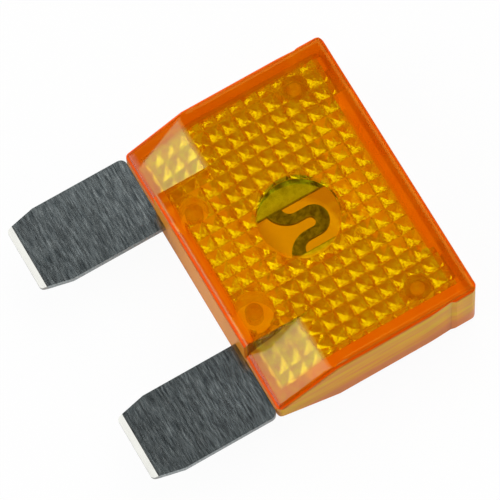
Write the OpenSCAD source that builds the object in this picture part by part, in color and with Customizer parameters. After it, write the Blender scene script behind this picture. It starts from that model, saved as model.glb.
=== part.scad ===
// Large automotive blade fuse lying on its back: X across the blades, Y up the fuse,
// Z from the back face to the front face. Millimetres.

/* [Housing] */
// Width of the housing
body_w = 29.2; // [28.8:0.1:29.8]
// Height of the housing from its foot to its head
body_h = 21.5; // [21:0.1:22.4]
// Thickness of the housing
body_t = 8.9; // [8.7:0.1:9.4]
// Radius along the edges of the front and back faces
edge_r = 0.7; // [0.5:0.05:0.8]
// Radius of the head corners in front view
head_r = 1; // [0.7:0.1:1.3]
// Radius of the foot corners in front view
foot_r = 0.8; // [0.6:0.1:1]

/* [Walls] */
// Thickness of the side walls
side_wall = 1.7; // [1.6:0.05:1.8]
// Thickness of the head wall
head_wall = 2; // [1.8:0.1:2.2]
// Thickness of the foot wall
foot_wall = 1.4; // [1.3:0.05:1.5]
// Thickness of the front and back walls outside the studs
face_wall = 1.2; // [1.1:0.05:1.3]
// Width of the pocket beside each side wall at the head
pocket_w = 4.2; // [4:0.05:4.3]
// Depth of the pocket into the head wall
pocket_d = 0.6; // [0.4:0.05:0.8]

/* [Grip notches] */
// Depth of the shallow notch in each side wall
notch_d = 0.22; // [0.1:0.02:0.26]
// Distance from the head down to the deepest line of the notch
notch_drop = 2.9; // [2.7:0.1:3.1]
// Length over which the notch runs out towards the foot
notch_len = 2.8; // [2.4:0.1:3.4]
// Length of the step from the notch back out towards the head
notch_step = 0.5; // [0.3:0.05:0.7]

/* [Sloping shoulders] */
// Width of each slope, from the side wall to the step beside it
slope_w = 6.15; // [6:0.05:6.3]
// Height at which the slope runs out into the face
slope_h = 6.35; // [6.25:0.05:6.45]
// Angle between the slope and the face
slope_angle = 26.5; // [26:0.5:27]
// Radius along the lower edge of the slope
toe_r = 1.2; // [1:0.05:1.25]
// Radius that blends the slope into the face
blend_r = 4.5; // [3:0.5:6]
// Wall behind the slope and its step
slope_wall = 1.1; // [1:0.05:1.2]

/* [Studs and window] */
// Pitch of the pyramid studs inside both faces
stud_pitch = 1.52; // [1.45:0.01:1.6]
// Height of a stud
stud_rise = 0.56; // [0.5:0.01:0.65]
// Width of the flat on top of a stud
stud_flat = 0.1; // [0.08:0.01:0.16]
// Sideways shift of the studs from the middle
stud_shift_x = 0.28; // [0:0.01:0.4]
// Shift of the studs from the middle towards the foot
stud_shift_y = 0.35; // [0:0.01:0.4]
// Sideways shift of the slope's studs towards the middle
slope_shift_x = 0.52; // [0:0.02:0.7]
// Shift of the slope's studs down the slope
slope_shift_y = 0.6; // [0:0.05:0.7]
// Radius of the round window in the middle of the front face
window_r = 3.95; // [3.7:0.05:4.1]
// Width of the plain pad inside the back face
pad_w = 7.4; // [7:0.1:7.8]
// Height of the plain pad
pad_h = 10.4; // [10:0.1:10.8]

/* [Pins and bosses] */
// Distance from the outer edge of a leg to its upper pin
upper_pin_in = 1.2; // [1.15:0.01:1.25]
// Distance from the head down to the upper pins
upper_pin_drop = 4.7; // [4.5:0.1:4.9]
// Diameter of the upper bosses
upper_boss_d = 2.6; // [2.5:0.05:2.65]
// Diameter of the upper pins
upper_pin_d = 1.3; // [1.2:0.05:1.4]
// Distance from the inner edge of a leg to the lower pin beside it
lower_pin_in = 2.1; // [2.1:0.05:2.2]
// Height of the lower pins
lower_pin_y = 2.7; // [2.6:0.1:2.9]
// Diameter of the left lower boss
left_boss_d = 2.8; // [2.6:0.1:3]
// Diameter of the right lower boss
right_boss_d = 3.8; // [3.6:0.1:4]
// Diameter of the lower pins
lower_pin_d = 1.6; // [1.5:0.05:1.7]
// Length of a pin past the joint between the shells
pin_len = 2.6; // [2.4:0.1:2.8]
// Clearance between parts that fit together
fit_gap = 0.05; // [0.03:0.01:0.08]

/* [Blades] */
// Width of each blade
blade_w = 8; // [7.8:0.1:8.1]
// Thickness of the blades
blade_t = 0.8; // [0.7:0.05:0.85]
// Length of the blades below the housing
blade_reach = 13; // [12:0.1:13.6]
// Width of the blade at its tip
tip_w = 6.6; // [6.2:0.1:7]
// Length of the tapered tip
tip_len = 3.1; // [2.6:0.1:3.6]
// Length of the bevel at the tip
tip_bevel = 0.6; // [0.4:0.05:0.8]
// Depth of the bevel at the tip
bevel_depth = 0.22; // [0.15:0.01:0.28]
// Radius of the shoulder corners under the housing
shoulder_r = 0.7; // [0.5:0.05:0.9]
// Radius of the blade tip corners
tip_r = 0.4; // [0.3:0.05:0.5]

/* [Legs and link] */
// Width of each leg inside the housing
leg_w = 4.85; // [4.8:0.05:4.9]
// Space between a leg and the side wall
leg_gap = 0.35; // [0.3:0.05:0.4]
// Distance from the head down to the leg tops
leg_drop = 2.4; // [2.3:0.05:2.6]
// Width of the test tab on each leg
tab_w = 2.5; // [2.3:0.1:2.7]
// Distance from the head down to the top of the test tabs
tab_drop = 0.9; // [0.8:0.05:1.1]
// Thickness of the thin webs and of the link
link_t = 0.5; // [0.4:0.05:0.6]
// Gap between the two webs
web_gap = 4.9; // [4.7:0.05:5.1]
// Distance from the head down to the top of the webs
web_drop = 5.3; // [5:0.1:5.6]
// Space between the webs and the lower bosses
web_rise = 1.1; // [0.9:0.1:1.3]
// Outer radius of the link's hump
hump_r = 1.5; // [1.45:0.01:1.55]
// Height of the top of the hump above the middle of the housing
hump_top = 3; // [2.9:0.05:3.1]
// Width of the link's strip beside the hump
link_w = 0.95; // [0.9:0.01:1]
// Width of the link's strip over the hump
crown_w = 1.35; // [1.2:0.05:1.45]
// Height of the end of the straight strands above the middle of the housing
bend_y = 0.3; // [0.2:0.05:0.4]
// Radius under the flared feet of the link
flare_r = 2.55; // [2.45:0.05:2.7]

/* [Hidden] */
$fn = 48;
over = 1;
foot_y = (blade_reach - body_h) / 2;
head_y = foot_y + body_h;
mid_y = foot_y + body_h / 2;
side_x = body_w / 2;
blade_x = side_x - blade_w / 2;
split_z = (body_t - blade_t) / 2;
blade_top = split_z + blade_t;
inner_x = side_x - side_wall;
step_x = side_x - slope_w;
step_in = step_x - slope_wall;
cavity_low = foot_y + foot_wall;
cavity_high = head_y - head_wall;
valley_z = body_t - face_wall;
crest_z = valley_z - stud_rise;
slope_length = slope_h / cos(slope_angle);
toe_z = body_t - slope_h * tan(slope_angle);
stud_side = (stud_pitch - stud_flat) / 2;
columns = ceil(inner_x / stud_pitch) + 1;
rows = ceil(body_h / stud_pitch / 2) + 1;
slope_rows = ceil(slope_length / stud_pitch) + 1;
leg_out = inner_x - leg_gap;
leg_in = leg_out - leg_w;
upper_pin_x = leg_out - upper_pin_in;
upper_pin_y = head_y - upper_pin_drop;
lower_pin_x = leg_in - lower_pin_in;
web_low = foot_y + lower_pin_y + right_boss_d / 2 + web_rise;
web_high = head_y - web_drop;
web_in = web_gap / 2;
hump_in = hump_r - link_w;
shell_orange = [0.85, 0.42, 0.02, 0.6];
metal_grey = [0.36, 0.38, 0.4];

// Cuts a sharp corner of an outline back to an arc of radius r.
// The two edges leave the corner at the angles a and b.
module corner_trim(corner, a, b, r) {
    middle = (a + b) / 2;
    half = abs(b - a) / 2;
    reach = r / tan(half);
    centre = corner + r / sin(half) * [cos(middle), sin(middle)];
    difference() {
        polygon([
            corner - 0.4 * r * [cos(middle), sin(middle)],
            corner + reach * [cos(a), sin(a)],
            centre,
            corner + reach * [cos(b), sin(b)]
        ]);
        translate(centre) circle(r);
    }
}

// Rectangle with true arcs at the corners, its lower left corner at the origin.
module soft_rectangle(w, h, r) {
    difference() {
        square([w, h]);
        corner_trim([0, 0], 0, 90, r);
        corner_trim([w, 0], 90, 180, r);
        corner_trim([w, h], 180, 270, r);
        corner_trim([0, h], 270, 360, r);
    }
}

// Extrudes a profile drawn in Y and Z along X.
module along_x(from, to) {
    translate([from, 0, 0]) rotate([90, 0, 90]) linear_extrude(height = to - from) children();
}

// Extrudes a profile drawn in X and Z along Y.
module along_y(from, to) {
    translate([0, to, 0]) rotate([90, 0, 0]) linear_extrude(height = to - from) children();
}

// Extrudes a profile drawn in X and Y along Z.
module along_z(from, to) {
    translate([0, 0, from]) linear_extrude(height = to - from) children();
}

module both_sides() {
    children();
    mirror([1, 0, 0]) children();
}

// Turns a feature of the front face into the same feature of the back face.
module to_back() {
    translate([0, 0, body_t]) mirror([0, 0, 1]) children();
}

// Front view of the housing with its shallow side notches.
module housing_outline() {
    side = [
        [side_x, foot_y],
        [side_x, head_y - notch_drop - notch_len],
        [side_x - notch_d, head_y - notch_drop],
        [side_x, head_y - notch_drop + notch_step],
        [side_x, head_y]
    ];
    last = len(side) - 1;
    mirrored = [for (i = [last:-1:0]) [-side[i][0], side[i][1]]];
    difference() {
        polygon(concat(side, mirrored));
        both_sides() {
            corner_trim([side_x, head_y], 180, 270, head_r);
            corner_trim([side_x, foot_y], 90, 180, foot_r);
        }
    }
}

// Wedge taken off the face over each blade, with its rounded edges.
module shoulder_wedge() {
    toe = [foot_y, toe_z];
    top = [foot_y + slope_h, body_t];
    along_x(step_x, side_x + over) {
        polygon([
            toe,
            top,
            top + [0, over],
            toe + [-over, body_t - toe_z + over],
            toe - [over, 0]
        ]);
        corner_trim(toe, -90, slope_angle, toe_r);
        corner_trim(top, slope_angle - 180, 0, blend_r);
    }
    translate([side_x, foot_y + slope_h, body_t])
        rotate([slope_angle, 0, 0])
            along_y(-slope_length - over, over) corner_trim([0, 0], 180, 270, edge_r);
}

module housing_outer() {
    difference() {
        intersection() {
            along_z(0, body_t) housing_outline();
            along_y(foot_y, head_y) translate([-side_x, 0]) soft_rectangle(body_w, body_t, edge_r);
            along_x(-side_x, side_x) translate([foot_y, 0]) soft_rectangle(body_h, body_t, edge_r);
        }
        both_sides() {
            shoulder_wedge();
            to_back() shoulder_wedge();
        }
    }
}

// Row of teeth whose valleys lie at height 0 and whose crests point down.
module tooth_profile(count, back) {
    teeth = [for (i = [-count:count - 1]) each [
        [i * stud_pitch, 0],
        [i * stud_pitch + stud_side, -stud_rise],
        [(i + 1) * stud_pitch - stud_side, -stud_rise]
    ]];
    edge = count * stud_pitch;
    polygon(concat(teeth, [[edge, 0], [edge, back], [-edge, back]]));
}

// Block with a field of pyramid studs on its lower side, made by two crossed rows of teeth.
module stud_block(across, along, back) {
    intersection() {
        along_y(-along * stud_pitch, along * stud_pitch) tooth_profile(across, back);
        along_x(-across * stud_pitch, across * stud_pitch) tooth_profile(along, back);
    }
}

// Studded wall that follows the slope from inside, drawn on the right side.
module slope_block() {
    intersection() {
        translate([0, foot_y + slope_h, body_t])
            rotate([slope_angle, 0, 0])
                translate([-slope_shift_x, -slope_length / 2 - slope_shift_y, -slope_wall])
                    stud_block(columns, slope_rows, body_t);
        translate([step_in, foot_y - over, split_z - over])
            cube([inner_x + over - step_in, body_h, body_t]);
    }
}

// Everything solid above the open space behind a face.
module face_relief() {
    translate([stud_shift_x, mid_y - stud_shift_y, valley_z])
        stud_block(columns, rows, face_wall + over);
    both_sides() slope_block();
}

// Front view of the open space, with a pocket in the head wall over each leg.
module cavity_outline() {
    translate([-inner_x, cavity_low]) square([2 * inner_x, cavity_high - cavity_low]);
    both_sides()
        translate([inner_x - pocket_w, cavity_high - over]) square([pocket_w, pocket_d + over]);
}

// Open space behind the front face, down to the joint between the shells.
module front_cavity() {
    difference() {
        along_z(split_z - over, valley_z + face_wall / 2) cavity_outline();
        face_relief();
        translate([0, mid_y, crest_z]) cylinder(r = window_r, h = body_t);
    }
}

// Open space behind the back face, up to the joint between the shells.
module rear_cavity() {
    difference() {
        along_z(face_wall / 2, split_z + over) cavity_outline();
        to_back() face_relief();
        translate([-pad_w / 2, mid_y - pad_h / 2, -over]) cube([pad_w, pad_h, body_t - crest_z + over]);
    }
}

module upright(x, y, d, from, to) {
    translate([x, y, from]) cylinder(d = d, h = to - from);
}

// Slots in the front shell that hold the legs at the foot and the tabs at the head.
module leg_slots() {
    slot_t = blade_t + fit_gap;
    translate([leg_in - fit_gap, foot_y - over, split_z])
        cube([leg_out - leg_in + 2 * fit_gap, slope_h + over, slot_t]);
    translate([blade_x - tab_w / 2 - fit_gap, cavity_high - over, split_z])
        cube([tab_w + 2 * fit_gap, head_wall + 2 * over, slot_t]);
}

module front_shell() {
    lower_y = foot_y + lower_pin_y;
    color(shell_orange)
        difference() {
            union() {
                difference() {
                    housing_outer();
                    front_cavity();
                    both_sides() leg_slots();
                }
                both_sides()
                    upright(upper_pin_x, upper_pin_y, upper_boss_d, blade_top + fit_gap, valley_z);
                upright(-lower_pin_x, lower_y, left_boss_d, split_z, valley_z);
                upright(lower_pin_x, lower_y, right_boss_d, split_z, valley_z);
            }
            translate([-body_w, foot_y - over, split_z - body_t])
                cube([2 * body_w, body_h + 2 * over, body_t]);
            both_sides() {
                upright(upper_pin_x, upper_pin_y, upper_pin_d + 2 * fit_gap, split_z - over,
                    split_z + pin_len + fit_gap);
                upright(lower_pin_x, lower_y, lower_pin_d + 2 * fit_gap, split_z - over,
                    split_z + pin_len + fit_gap);
            }
        }
}

module rear_shell() {
    lower_y = foot_y + lower_pin_y;
    color(shell_orange)
        union() {
            difference() {
                housing_outer();
                rear_cavity();
                translate([-body_w, foot_y - over, split_z])
                    cube([2 * body_w, body_h + 2 * over, body_t]);
            }
            both_sides() {
                upright(upper_pin_x, upper_pin_y, upper_boss_d, face_wall / 2, split_z);
                upright(upper_pin_x, upper_pin_y, upper_pin_d, face_wall, split_z + pin_len);
                upright(lower_pin_x, lower_y, lower_pin_d, face_wall, split_z + pin_len);
            }
            upright(-lower_pin_x, lower_y, left_boss_d, face_wall / 2, split_z);
            upright(lower_pin_x, lower_y, right_boss_d, face_wall / 2, split_z);
        }
}

// Front view of the right blade, from its tip to the foot of the housing.
module blade_outline() {
    tip_y = foot_y - blade_reach;
    outer = side_x;
    inner = side_x - blade_w;
    tip_lean = atan2((blade_w - tip_w) / 2, tip_len);
    difference() {
        polygon([
            [blade_x - tip_w / 2, tip_y],
            [blade_x + tip_w / 2, tip_y],
            [outer, tip_y + tip_len],
            [outer, foot_y],
            [inner, foot_y],
            [inner, tip_y + tip_len]
        ]);
        corner_trim([outer, foot_y], 180, 270, shoulder_r);
        corner_trim([blade_x + tip_w / 2, tip_y], 90 - tip_lean, 180, tip_r);
        corner_trim([blade_x - tip_w / 2, tip_y], 0, 90 + tip_lean, tip_r);
    }
}

// Front view of the right leg inside the housing, with its test tab and pin hole.
module leg_outline() {
    leg_top = head_y - leg_drop;
    difference() {
        union() {
            translate([leg_in, foot_y - over]) square([leg_w, leg_top - foot_y + over]);
            translate([blade_x - tab_w / 2, leg_top - over])
                square([tab_w, leg_drop - tab_drop + over]);
        }
        translate([upper_pin_x, upper_pin_y]) circle(d = upper_pin_d + 2 * fit_gap);
    }
}

// Front view of the right web and of the flared foot that joins it to the link.
module web_outline() {
    translate([web_in, web_low]) square([leg_in + over - web_in, web_high - web_low]);
    translate([0, mid_y + bend_y])
        difference() {
            intersection() {
                translate([hump_in + flare_r, 0]) circle(flare_r);
                translate([0, -flare_r]) square([web_in + over, flare_r]);
            }
            translate([web_in, 0]) circle(web_in - hump_r);
        }
}

// Front view of the link's hump and its two straight strands.
module hump_outline() {
    outer_y = hump_top - hump_r;
    inner_y = hump_top - crown_w - hump_in;
    translate([0, mid_y])
        difference() {
            union() {
                translate([0, outer_y]) circle(hump_r);
                translate([-hump_r, bend_y]) square([2 * hump_r, outer_y - bend_y]);
            }
            translate([0, inner_y]) circle(hump_in);
            translate([-hump_in, bend_y - over]) square([2 * hump_in, inner_y - bend_y + over]);
        }
}

// Side view that bevels both faces of the blade tips.
module bevel_profile() {
    tip_y = foot_y - blade_reach;
    polygon([
        [tip_y, split_z + bevel_depth],
        [tip_y + tip_bevel, split_z],
        [head_y, split_z],
        [head_y, blade_top],
        [tip_y + tip_bevel, blade_top],
        [tip_y, blade_top - bevel_depth]
    ]);
}

module fuse_element() {
    color(metal_grey)
        union() {
            intersection() {
                along_x(-body_w, body_w) bevel_profile();
                along_z(split_z - over, blade_top + over)
                    both_sides() {
                        blade_outline();
                        leg_outline();
                    }
            }
            along_z(split_z + (blade_t - link_t) / 2, split_z + (blade_t + link_t) / 2) {
                both_sides() web_outline();
                hump_outline();
            }
        }
}

front_shell();
rear_shell();
fuse_element();
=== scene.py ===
"""Large automotive blade fuse: amber see-through housing, zinc blades and wavy link, on a white floor."""
import math

import bmesh
import bpy
from mathutils import Matrix, Vector


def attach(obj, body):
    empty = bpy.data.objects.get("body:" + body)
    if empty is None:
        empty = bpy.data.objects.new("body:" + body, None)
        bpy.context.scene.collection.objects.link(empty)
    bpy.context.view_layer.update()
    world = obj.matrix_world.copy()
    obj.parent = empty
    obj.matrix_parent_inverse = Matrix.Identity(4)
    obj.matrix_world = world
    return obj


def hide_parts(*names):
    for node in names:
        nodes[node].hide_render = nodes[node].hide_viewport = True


MM = 0.001

# Camera: fitted to the corners of the blades and of the housing, with its lengths in millimetres
IMAGE_SIDE = 500
SENSOR = 36.0
FOCAL_PIXELS = 4000.6
CAMERA_PLACE = (107.158, -42.808, 359.625)
CAMERA_RIGHT = (0.49796, 0.86612, -0.0432)
CAMERA_DOWN = (0.81778, -0.48558, -0.30895)
CAMERA_NEAR = 10.0

# Circles of the part: middle along X and Y and radius, in millimetres; the bosses are the same on both sides
WINDOW_Y = 6.5
WINDOW_R = 3.95
WINDOW_MARGIN = 0.3
WINDOW = (0.0, WINDOW_Y, WINDOW_R)
AROUND_WINDOW = (0.0, WINDOW_Y, WINDOW_R + WINDOW_MARGIN)
UPPER_BOSS = (11.35, 12.55, 1.5)
LOWER_BOSS = (5.6, -1.55, 2.1)
CIRCLE_SOFT = 0.1

# Rectangles of the part: middle along X and Y, half width, half height and soft edge, in millimetres
STUD_FIELD = (0.0, 6.2, 12.9, 9.05, 0.3)
INSIDE = (0.0, 6.5, 14.3, 10.4, 0.15)
POCKET = (10.8, 15.6, 2.2, 0.9, 0.15)
# The link's box is painted nearly black on the zinc, as painted shade
LINK = (0.0, 6.5, 2.5, 4.0, 0.1)

# Runs along an axis: zero at the first place and one at the second, in millimetres
REAR_Z = (4.6, 3.6)
FRONT_Z = (4.9, 5.2)
HOLE_Z = (6.0, 5.8)
# Painted shade on the upright faces inside: the shaded tone below the first height, the lit tone above the
# second
INNER_SHADE_Z = (6.0, 7.0)
SIDE_LOW_Z = (3.2, 2.2)
SLOPE_Y = (3.6, 3.0)
FOOT_GLEAM_Y = (-3.2, -3.8)
FOOT_FACE_Y = (-3.8, -4.1)
PAD_SHADE_Y = (5.2, 3.0)
BEVEL_Y = (-16.5, -16.7)

# The strip on the left slope: its run along X where Y is zero, and its lean along X per millimetre of Y
STRIP_X = (-13.4, -13.7)
STRIP_LEAN = 0.276

# Runs over the upward part of a face's direction
LEVEL = (0.84, 0.88)
FLAT = (0.905, 0.95)
LYING = (0.15, 0.6)

# Clear amber: what it holds back, how it bends light and its tints; a pair is the two ends of a noise
RED_LOSS = 0.012
GREEN_LOSS = 0.055
AMBER_DENSITY = 1800.0
AMBER_IOR = 1.58
FRONT_TINTS = ((0.8, 0.96, 0.72, 1.0), (0.86, 1.0, 0.8, 1.0))
WINDOW_TINT = (1.0, 0.97, 0.8, 1.0)
REAR_TINT = (0.66, 0.26, 0.1, 1.0)
PAD_TINT = (0.86, 0.42, 0.1, 1.0)
# PAD_SHADE is painted shade on the pad, taken on towards low Y
PAD_SHADE = (0.6, 0.24, 0.1, 1.0)
WALL_TINT = (0.95, 0.1, 0.01, 1.0)
GLEAM = (1.0, 0.9, 0.1, 1.0)
STRIP_GLEAM = (0.6, 0.2, 0.0, 1.0)

# Milky share of the amber by zone; the pockets keep a part of the rim's
BASE_HAZE = 0.03
FACE_HAZE = 0.36
SLOPE_HAZE = 0.42
RIM_HAZE = 0.43
POCKET_PART = 0.25
EDGE_HAZE = 0.9
BOSS_HAZE = 0.35
HOLE_HAZE = 0.6
SIDE_HAZE = 0.62

# Milky tones of the amber by zone; the slopes' rims take a part of the wall's
FACE_TONES = ((0.86, 0.14, 0.0, 1.0), (0.94, 0.3, 0.0, 1.0))
WALL_TONES = ((0.94, 0.11, 0.0, 1.0), (1.0, 0.17, 0.0, 1.0))
EDGE_TONE = (0.84, 0.08, 0.0, 1.0)
SLOPE_TONES = ((0.9, 0.42, 0.08, 1.0), (0.98, 0.72, 0.04, 1.0))
SLOPE_RIM_PART = 0.6
SIDE_TONES = ((0.95, 0.36, 0.04, 1.0), (1.0, 0.6, 0.01, 1.0))
SIDE_LOW_TONE = (1.0, 0.33, 0.08, 1.0)
FOOT_TONE = (0.75, 0.28, 0.03, 1.0)
# Upright faces inside: painted shade deep in the part and painted light near the front face
INNER_SHADED_TONE = (0.5, 0.14, 0.0, 1.0)
INNER_LIT_TONE = (0.95, 0.62, 0.0, 1.0)

# Zinc
BLADE_TONES = ((0.13, 0.16, 0.17, 1.0), (0.44, 0.49, 0.49, 1.0))
BEVEL_TONE = (0.34, 0.34, 0.32, 1.0)
DULL_TONES = ((0.55, 0.46, 0.3, 1.0), (1.0, 0.93, 0.75, 1.0))
# The link: painted shade, speckled and nearly black
LINK_SHADE_TONES = ((0.03, 0.035, 0.03, 1.0), (0.36, 0.3, 0.2, 1.0))
BLADE_ROUGHNESS = (0.14, 0.21)
DULL_ROUGHNESS = 0.45

# Noises: cycles per metre along X, Y and Z
CLOUDS = (180.0, 180.0, 180.0)
WALL_CLOUDS = (250.0, 250.0, 250.0)
GRAIN = (1100.0, 1100.0, 1100.0)
SIDE_FLOW = (120.0, 120.0, 1300.0)
RIPPLES = (2200.0, 2200.0, 2200.0)
STREAKS = (900.0, 5500.0, 2500.0)
ROUGH_STREAKS = (500.0, 4000.0, 1500.0)
DULL_GRAIN = (1200.0, 1200.0, 1200.0)
SPECKLES = (2500.0, 2500.0, 2500.0)
NOISE_ROUGHNESS = 0.6
NOISE_LOW = 0.3
NOISE_HIGH = 0.7
SOME_DETAIL = 2.0
MORE_DETAIL = 3.0
MOST_DETAIL = 4.0

# Unevenness of the facets and of the brushed metal: depths in millimetres
RIPPLE_DEPTH = 0.06
STREAK_DEPTH = 0.02
STREAK_STRENGTH = 0.25

# Floor: its grey, how much of it is even white to each kind of ray, and its lengths in millimetres
FLOOR_GREY = 0.8
FLOOR_WHITES = (("Is Camera Ray", 0.95), ("Is Transmission Ray", 0.85), ("Is Glossy Ray", 0.15))
FLOOR_HALF = 2000.0
FLOOR_DROP = 0.05

# Soft lights of the room: direction, half angles of the full light and of its outer edge in degrees, level
ROOM = 0.25
LIGHTS = (
    ((-0.45, 0.47, 0.78), 31, 36, 2.3),
    ((-0.24, -0.17, 0.95), 13, 16, 0.06),
    ((-0.26, -0.84, 0.48), 30, 32, 2.7),
    ((0.75, 0.15, 0.64), 20, 30, 1.3),
    ((-0.27, 0.1, 0.957), 7, 9, 0.09),
)

# Shading: cuts beside the roundings and the distances within which points are one, in millimetres
CUTS_X = (13.86, -13.86)
CUTS_Y = (16.5, 3.2, 1.1, -3.55)
CUT_TOLERANCE = 0.0002
WELD_TOLERANCE = 0.0005
SHARP_ANGLE = 20
AREA_WEIGHT = 100

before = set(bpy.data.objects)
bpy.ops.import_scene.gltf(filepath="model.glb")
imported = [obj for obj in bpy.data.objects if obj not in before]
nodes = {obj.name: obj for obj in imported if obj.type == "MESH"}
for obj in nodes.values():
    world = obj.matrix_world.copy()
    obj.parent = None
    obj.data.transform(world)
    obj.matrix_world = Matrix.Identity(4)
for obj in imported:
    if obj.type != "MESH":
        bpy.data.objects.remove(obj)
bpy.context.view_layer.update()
scene = bpy.context.scene


def new_material(name):
    """An empty node material and its output node."""
    material = bpy.data.materials.new(name)
    material.use_nodes = True
    tree = material.node_tree
    tree.nodes.clear()
    return material, tree, tree.nodes.new("ShaderNodeOutputMaterial")


def set_inputs(node, **values):
    """Sets a node's inputs by their names, with an underscore for each space."""
    for name, value in values.items():
        node.inputs[name.replace("_", " ")].default_value = value


def grey(value):
    return (value, value, value, 1.0)


def feed(tree, socket, value):
    """Links a socket's value to an input, or sets the input where the value is plain."""
    if isinstance(value, bpy.types.NodeSocket):
        tree.links.new(value, socket)
    else:
        socket.default_value = value


def math_node(tree, operation, first, second=0.0):
    """One Math node; each value is a socket or a number."""
    node = tree.nodes.new("ShaderNodeMath")
    node.operation = operation
    feed(tree, node.inputs[0], first)
    feed(tree, node.inputs[1], second)
    return node.outputs[0]


def plus(tree, first, second):
    return math_node(tree, "ADD", first, second)


def minus(tree, first, second):
    return math_node(tree, "SUBTRACT", first, second)


def opposite(tree, mask):
    """One where the mask is zero and zero where it is one."""
    return minus(tree, 1.0, mask)


def times(tree, first, *others):
    """Product of two or more values."""
    for other in others:
        first = math_node(tree, "MULTIPLY", first, other)
    return first


def most(tree, first, *others):
    """Largest of two or more values."""
    for other in others:
        first = math_node(tree, "MAXIMUM", first, other)
    return first


def smooth_run(tree, value, low, high):
    """Zero at low, one at high, with a soft run between them."""
    node = tree.nodes.new("ShaderNodeMapRange")
    node.interpolation_type = "SMOOTHSTEP"
    set_inputs(node, From_Min=low, From_Max=high)
    tree.links.new(value, node.inputs["Value"])
    return node.outputs["Result"]


def run_along(tree, value, low, high):
    """A smooth run over a length, with its two ends in millimetres."""
    return smooth_run(tree, value, low * MM, high * MM)


def blend(tree, factor, first, second):
    """Mixes two colours, each a socket or a value, by a factor socket."""
    node = tree.nodes.new("ShaderNodeMixRGB")
    tree.links.new(factor, node.inputs["Fac"])
    feed(tree, node.inputs["Color1"], first)
    feed(tree, node.inputs["Color2"], second)
    return node.outputs["Color"]


def noise(tree, scale, detail=SOME_DETAIL):
    """Object-space noise; scale is in cycles per metre along X, Y and Z."""
    place = tree.nodes.new("ShaderNodeTexCoord")
    mapping = tree.nodes.new("ShaderNodeMapping")
    mapping.inputs["Scale"].default_value = scale
    texture = tree.nodes.new("ShaderNodeTexNoise")
    set_inputs(texture, Scale=1.0, Detail=detail, Roughness=NOISE_ROUGHNESS)
    tree.links.new(place.outputs["Object"], mapping.inputs["Vector"])
    tree.links.new(mapping.outputs["Vector"], texture.inputs["Vector"])
    return texture.outputs["Fac"]


def tone_between(tree, value, low, high):
    """A colour from low to high as a noise's value rises."""
    ramp = tree.nodes.new("ShaderNodeValToRGB")
    first, last = ramp.color_ramp.elements
    first.position = NOISE_LOW
    first.color = low
    last.position = NOISE_HIGH
    last.color = high
    tree.links.new(value, ramp.inputs["Fac"])
    return ramp.outputs["Color"]


def mottled(tree, scale, tones, detail=SOME_DETAIL):
    """A colour that varies between two tones with noise."""
    return tone_between(tree, noise(tree, scale, detail), *tones)


def place_axes(tree):
    """Sockets with the place in the part along X, Y and Z, in metres."""
    place = tree.nodes.new("ShaderNodeTexCoord")
    split = tree.nodes.new("ShaderNodeSeparateXYZ")
    tree.links.new(place.outputs["Object"], split.inputs["Vector"])
    return split.outputs["X"], split.outputs["Y"], split.outputs["Z"]


def past_box(tree, x, y, middle_x, middle_y, half_x, half_y, soft):
    """One outside an upright box, zero inside it."""
    from_middle_x = math_node(tree, "ABSOLUTE", minus(tree, x, middle_x * MM))
    from_middle_y = math_node(tree, "ABSOLUTE", minus(tree, y, middle_y * MM))
    past_x = minus(tree, from_middle_x, half_x * MM)
    past_y = minus(tree, from_middle_y, half_y * MM)
    return run_along(tree, most(tree, past_x, past_y), -soft, soft)


def past_circle(tree, x, y, middle_x, middle_y, radius):
    """One outside an upright cylinder, zero inside it."""
    from_middle_x = minus(tree, x, middle_x * MM)
    from_middle_y = minus(tree, y, middle_y * MM)
    squares = plus(tree, times(tree, from_middle_x, from_middle_x), times(tree, from_middle_y, from_middle_y))
    distance = math_node(tree, "SQRT", squares)
    return run_along(tree, distance, radius - CIRCLE_SOFT, radius + CIRCLE_SOFT)


def facing_up(tree, low, high):
    """Zero on faces whose upward part is under low, one on those where it is over high."""
    geometry = tree.nodes.new("ShaderNodeNewGeometry")
    split = tree.nodes.new("ShaderNodeSeparateXYZ")
    tree.links.new(geometry.outputs["Normal"], split.inputs["Vector"])
    return smooth_run(tree, math_node(tree, "ABSOLUTE", split.outputs["Z"]), low, high)


class Zones:
    """Masks over the housing, by place and by how a face lies."""

    def __init__(self, tree):
        self.x, self.y, self.z = place_axes(tree)
        aside = math_node(tree, "ABSOLUTE", self.x)
        self.wall = past_box(tree, self.x, self.y, *STUD_FIELD)
        self.outer = past_box(tree, self.x, self.y, *INSIDE)
        self.past_pocket = past_box(tree, aside, self.y, *POCKET)
        self.past_window = past_circle(tree, self.x, self.y, *WINDOW)
        self.rear = run_along(tree, self.z, *REAR_Z)
        self.level = facing_up(tree, *LEVEL)
        self.lying = facing_up(tree, *LYING)
        self.upright = opposite(tree, self.lying)
        self.rounding = times(tree, opposite(tree, self.level), self.outer)
        leaning = plus(tree, self.x, times(tree, self.y, STRIP_LEAN))
        self.strip = run_along(tree, leaning, *STRIP_X)
        tilted = minus(tree, self.level, facing_up(tree, *FLAT))
        low_down = run_along(tree, self.y, *SLOPE_Y)
        self.slope = times(tree, tilted, low_down, opposite(tree, self.strip))
        past_upper = past_circle(tree, aside, self.y, *UPPER_BOSS)
        past_lower = past_circle(tree, aside, self.y, *LOWER_BOSS)
        self.boss = opposite(tree, math_node(tree, "MINIMUM", past_upper, past_lower))
        past_hole = past_circle(tree, self.x, self.y, *AROUND_WINDOW)
        self.hole = opposite(tree, most(tree, past_hole, run_along(tree, self.z, *HOLE_Z)))


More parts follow.
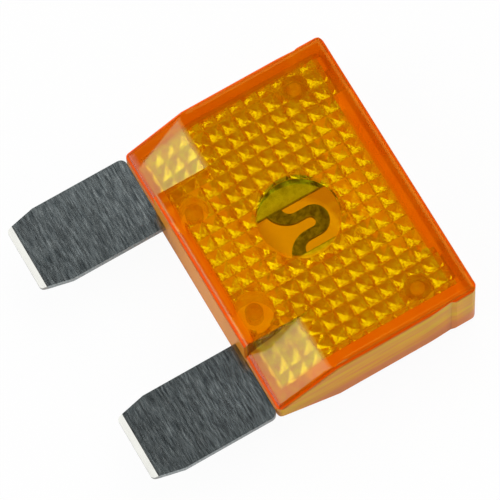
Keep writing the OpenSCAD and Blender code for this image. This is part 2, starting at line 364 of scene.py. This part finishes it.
def clear_tint(tree, zones):
    """Tint of the light that goes through: yellow in the front half, brown in the rear with painted shade on
    the pad towards low Y, red in the walls.
    """
    front = blend(tree, zones.past_window, WINDOW_TINT, mottled(tree, CLOUDS, FRONT_TINTS))
    # painted shade: the pad turns darker towards low Y
    pad = blend(tree, run_along(tree, zones.y, *PAD_SHADE_Y), PAD_TINT, PAD_SHADE)
    rear = blend(tree, zones.past_window, pad, REAR_TINT)
    rear = blend(tree, times(tree, zones.wall, zones.lying), rear, WALL_TINT)
    return blend(tree, zones.rear, front, rear)


def gleam_tint(tree, zones):
    """Tint of the reflections: white on the slopes, sides and foot, amber elsewhere, faint on the strip."""
    white = most(tree, zones.slope, zones.upright, run_along(tree, zones.y, *FOOT_GLEAM_Y))
    return blend(tree, white, blend(tree, zones.strip, GLEAM, STRIP_GLEAM), grey(1.0))


def facet_ripple(tree, zones):
    """Slightly uneven normals on the studs and the inner walls."""
    inner = opposite(tree, most(tree, zones.level, zones.wall))
    bump = tree.nodes.new("ShaderNodeBump")
    set_inputs(bump, Strength=1.0, Distance=RIPPLE_DEPTH * MM)
    tree.links.new(times(tree, noise(tree, RIPPLES), inner), bump.inputs["Height"])
    return bump.outputs["Normal"]


def lying_tone(tree, zones):
    """Milky tone of the front face, the slopes and the rims round them."""
    wall = blend(tree, zones.rounding, mottled(tree, WALL_CLOUDS, WALL_TONES), EDGE_TONE)
    face = blend(tree, zones.wall, mottled(tree, GRAIN, FACE_TONES, MOST_DETAIL), wall)
    slope_rim = times(tree, zones.wall, SLOPE_RIM_PART)
    slope = blend(tree, slope_rim, mottled(tree, GRAIN, SLOPE_TONES, MOST_DETAIL), wall)
    return blend(tree, zones.slope, face, slope)


def upright_tone(tree, zones):
    """Milky tone of the outer sides, the foot face and the upright faces inside; the inside ones carry
    painted shade deep in the part and painted light near the front face.
    """
    side = mottled(tree, SIDE_FLOW, SIDE_TONES)
    side = blend(tree, run_along(tree, zones.z, *SIDE_LOW_Z), side, SIDE_LOW_TONE)
    side = blend(tree, run_along(tree, zones.y, *FOOT_FACE_Y), side, FOOT_TONE)
    # painted shade deep inside the part, painted light near the front face
    inner = blend(tree, run_along(tree, zones.z, *INNER_SHADE_Z), INNER_SHADED_TONE, INNER_LIT_TONE)
    return blend(tree, zones.outer, inner, side)


def milky_share(tree, zones):
    """How milky the plastic is at each place."""
    in_front = run_along(tree, zones.z, *FRONT_Z)
    face = times(tree, zones.level, in_front, FACE_HAZE, zones.past_window)
    slope = times(tree, zones.slope, SLOPE_HAZE)
    pocket = plus(tree, times(tree, zones.past_pocket, 1 - POCKET_PART), POCKET_PART)
    rim = most(tree, times(tree, pocket, RIM_HAZE), times(tree, zones.rounding, EDGE_HAZE))
    rim = times(tree, zones.wall, zones.lying, rim)
    side = times(tree, zones.outer, zones.upright, SIDE_HAZE)
    boss = times(tree, zones.boss, zones.upright, BOSS_HAZE)
    hole = times(tree, zones.hole, zones.upright, HOLE_HAZE)
    return plus(tree, most(tree, face, slope, rim, side, boss, hole), BASE_HAZE)


def amber_plastic():
    """Clear amber plastic: yellow where it is thin, redder and a little milky in the walls."""
    material, tree, output = new_material("amber plastic")
    zones = Zones(tree)
    clear = tree.nodes.new("ShaderNodeBsdfPrincipled")
    set_inputs(clear, Roughness=0.0, IOR=AMBER_IOR, Transmission_Weight=1.0)
    tree.links.new(clear_tint(tree, zones), clear.inputs["Base Color"])
    tree.links.new(gleam_tint(tree, zones), clear.inputs["Specular Tint"])
    tree.links.new(facet_ripple(tree, zones), clear.inputs["Normal"])
    milky = tree.nodes.new("ShaderNodeBsdfDiffuse")
    tone = blend(tree, zones.upright, lying_tone(tree, zones), upright_tone(tree, zones))
    tree.links.new(tone, milky.inputs["Color"])
    mix = tree.nodes.new("ShaderNodeMixShader")
    tree.links.new(milky_share(tree, zones), mix.inputs["Fac"])
    tree.links.new(clear.outputs["BSDF"], mix.inputs[1])
    tree.links.new(milky.outputs["BSDF"], mix.inputs[2])
    absorption = tree.nodes.new("ShaderNodeVolumeAbsorption")
    set_inputs(absorption, Color=(1 - RED_LOSS, 1 - GREEN_LOSS, 0.0, 1.0), Density=AMBER_DENSITY)
    tree.links.new(mix.outputs["Shader"], output.inputs["Surface"])
    tree.links.new(absorption.outputs["Volume"], output.inputs["Volume"])
    return material


def zinc():
    """Grey zinc, brushed across the blades, paler on their bevels and dull round the link; the link itself is
    painted speckled and nearly black, as painted shade.
    """
    material, tree, output = new_material("brushed zinc")
    x, y, _ = place_axes(tree)
    link = opposite(tree, past_box(tree, x, y, *LINK))
    around = opposite(tree, past_circle(tree, x, y, *AROUND_WINDOW))
    streak = noise(tree, STREAKS, MORE_DETAIL)
    tone = tone_between(tree, streak, *BLADE_TONES)
    tone = blend(tree, run_along(tree, y, *BEVEL_Y), tone, BEVEL_TONE)
    tone = blend(tree, around, tone, mottled(tree, DULL_GRAIN, DULL_TONES, MOST_DETAIL))
    # painted shade: the link is painted speckled and nearly black
    tone = blend(tree, link, tone, mottled(tree, SPECKLES, LINK_SHADE_TONES, MOST_DETAIL))
    smoothest, roughest = BLADE_ROUGHNESS
    rough = mottled(tree, ROUGH_STREAKS, (grey(smoothest), grey(roughest)))
    bump = tree.nodes.new("ShaderNodeBump")
    set_inputs(bump, Strength=STREAK_STRENGTH, Distance=STREAK_DEPTH * MM)
    tree.links.new(streak, bump.inputs["Height"])
    shader = tree.nodes.new("ShaderNodeBsdfPrincipled")
    set_inputs(shader, Metallic=1.0)
    tree.links.new(tone, shader.inputs["Base Color"])
    tree.links.new(blend(tree, around, rough, grey(DULL_ROUGHNESS)), shader.inputs["Roughness"])
    tree.links.new(bump.outputs["Normal"], shader.inputs["Normal"])
    tree.links.new(shader.outputs["BSDF"], output.inputs["Surface"])
    return material


def white_floor():
    """White card: shown almost evenly white to the camera, lit as it is for everything else."""
    material, tree, output = new_material("white floor")
    card = tree.nodes.new("ShaderNodeBsdfDiffuse")
    set_inputs(card, Color=grey(FLOOR_GREY))
    white = tree.nodes.new("ShaderNodeEmission")
    set_inputs(white, Color=grey(1.0), Strength=1.0)
    path = tree.nodes.new("ShaderNodeLightPath")
    share = 0.0
    for kind, part in FLOOR_WHITES:
        share = plus(tree, share, times(tree, path.outputs[kind], part))
    mix = tree.nodes.new("ShaderNodeMixShader")
    tree.links.new(share, mix.inputs["Fac"])
    tree.links.new(card.outputs["BSDF"], mix.inputs[1])
    tree.links.new(white.outputs["Emission"], mix.inputs[2])
    tree.links.new(mix.outputs["Shader"], output.inputs["Surface"])
    return material


def copy_of(node_name):
    """A separate closed copy of a CAD node's mesh, without its stored normals."""
    work = bmesh.new()
    work.from_mesh(nodes[node_name].data)
    bmesh.ops.remove_doubles(work, verts=work.verts, dist=WELD_TOLERANCE * MM)
    work.verts.index_update()
    points = [vert.co.copy() for vert in work.verts]
    faces = [[vert.index for vert in face.verts] for face in work.faces]
    work.free()
    mesh = bpy.data.meshes.new(node_name + " copy")
    mesh.from_pydata(points, [], faces)
    copy = bpy.data.objects.new(node_name + " copy", mesh)
    scene.collection.objects.link(copy)
    return copy


def baked(obj):
    """Applies an object's modifiers."""
    bpy.context.view_layer.update()
    evaluated = obj.evaluated_get(bpy.context.evaluated_depsgraph_get())
    mesh = bpy.data.meshes.new_from_object(evaluated)
    obj.modifiers.clear()
    obj.data = mesh
    return obj


def cut_beside_roundings(obj):
    """Cuts the faces next to the roundings, so that a rounding's normals stay beside it."""
    cuts = [((along, 0, 0), (1, 0, 0)) for along in CUTS_X]
    cuts += [((0, along, 0), (0, 1, 0)) for along in CUTS_Y]
    work = bmesh.new()
    work.from_mesh(obj.data)
    for place, direction in cuts:
        whole = work.verts[:] + work.edges[:] + work.faces[:]
        point = Vector(place) * MM
        bmesh.ops.bisect_plane(work, geom=whole, dist=CUT_TOLERANCE * MM, plane_co=point, plane_no=direction)
    work.to_mesh(obj.data)
    work.free()


def flats_kept(obj):
    """Smooth shading on the roundings with the flat faces left flat."""
    obj.data.shade_smooth()
    obj.data.set_sharp_from_angle(angle=math.radians(SHARP_ANGLE))
    weighted = obj.modifiers.new("weighted", "WEIGHTED_NORMAL")
    weighted.mode = "FACE_AREA"
    weighted.weight = AREA_WEIGHT
    weighted.keep_sharp = True
    return baked(obj)


def welded_housing(material):
    """Both shells welded into one body, as light sees them."""
    housing = copy_of("front_shell")
    rear = copy_of("rear_shell")
    housing.name = "housing"
    weld = housing.modifiers.new("weld", "BOOLEAN")
    weld.operation = "UNION"
    weld.solver = "EXACT"
    weld.object = rear
    baked(housing)
    bpy.data.objects.remove(rear)
    housing.data.materials.clear()
    housing.data.materials.append(material)
    cut_beside_roundings(housing)
    return flats_kept(housing)


def add_camera():
    """Camera at the photograph's angle."""
    right = Vector(CAMERA_RIGHT).normalized()
    down = Vector(CAMERA_DOWN)
    down = (down - down.dot(right) * right).normalized()
    forward = right.cross(down)
    data = bpy.data.cameras.new("camera")
    data.sensor_width = SENSOR
    data.lens = FOCAL_PIXELS * SENSOR / IMAGE_SIDE
    data.clip_start = CAMERA_NEAR * MM
    camera = bpy.data.objects.new("camera", data)
    scene.collection.objects.link(camera)
    rotation = Matrix((right, -down, -forward)).transposed().to_4x4()
    camera.matrix_world = Matrix.Translation(Vector(CAMERA_PLACE) * MM) @ rotation
    scene.camera = camera


def add_floor(material):
    """A square card just under the part."""
    mesh = bpy.data.meshes.new("floor")
    side = FLOOR_HALF * MM
    height = -FLOOR_DROP * MM
    corners = [(-side, -side, height), (side, -side, height), (side, side, height), (-side, side, height)]
    mesh.from_pydata(corners, [], [(0, 1, 2, 3)])
    mesh.materials.append(material)
    floor = bpy.data.objects.new("floor", mesh)
    scene.collection.objects.link(floor)


def patch(tree, direction, inner, outer):
    """One inside a cone round a direction, zero outside it; inner and outer are half angles in degrees."""
    place = tree.nodes.new("ShaderNodeTexCoord")
    dot = tree.nodes.new("ShaderNodeVectorMath")
    dot.operation = "DOT_PRODUCT"
    dot.inputs[1].default_value = Vector(direction).normalized()
    tree.links.new(place.outputs["Generated"], dot.inputs[0])
    low = math.cos(math.radians(outer))
    high = math.cos(math.radians(inner))
    return smooth_run(tree, dot.outputs["Value"], low, high)


def add_world():
    """Dim room with a wide soft light overhead, dark openings in it, and two lower soft lights."""
    world = bpy.data.worlds.new("studio")
    scene.world = world
    world.use_nodes = True
    tree = world.node_tree
    tree.nodes.clear()
    output = tree.nodes.new("ShaderNodeOutputWorld")
    background = tree.nodes.new("ShaderNodeBackground")
    tone = grey(ROOM)
    for direction, inner, outer, level in LIGHTS:
        tone = blend(tree, patch(tree, direction, inner, outer), tone, grey(level))
    tree.links.new(tone, background.inputs["Color"])
    tree.links.new(background.outputs["Background"], output.inputs["Surface"])


scene.view_settings.view_transform = "Standard"
housing = welded_housing(amber_plastic())
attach(housing, "root")
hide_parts("front_shell", "rear_shell")
element = nodes["fuse_element"]
element.data.materials.clear()
element.data.materials.append(zinc())
add_camera()
add_floor(white_floor())
add_world()
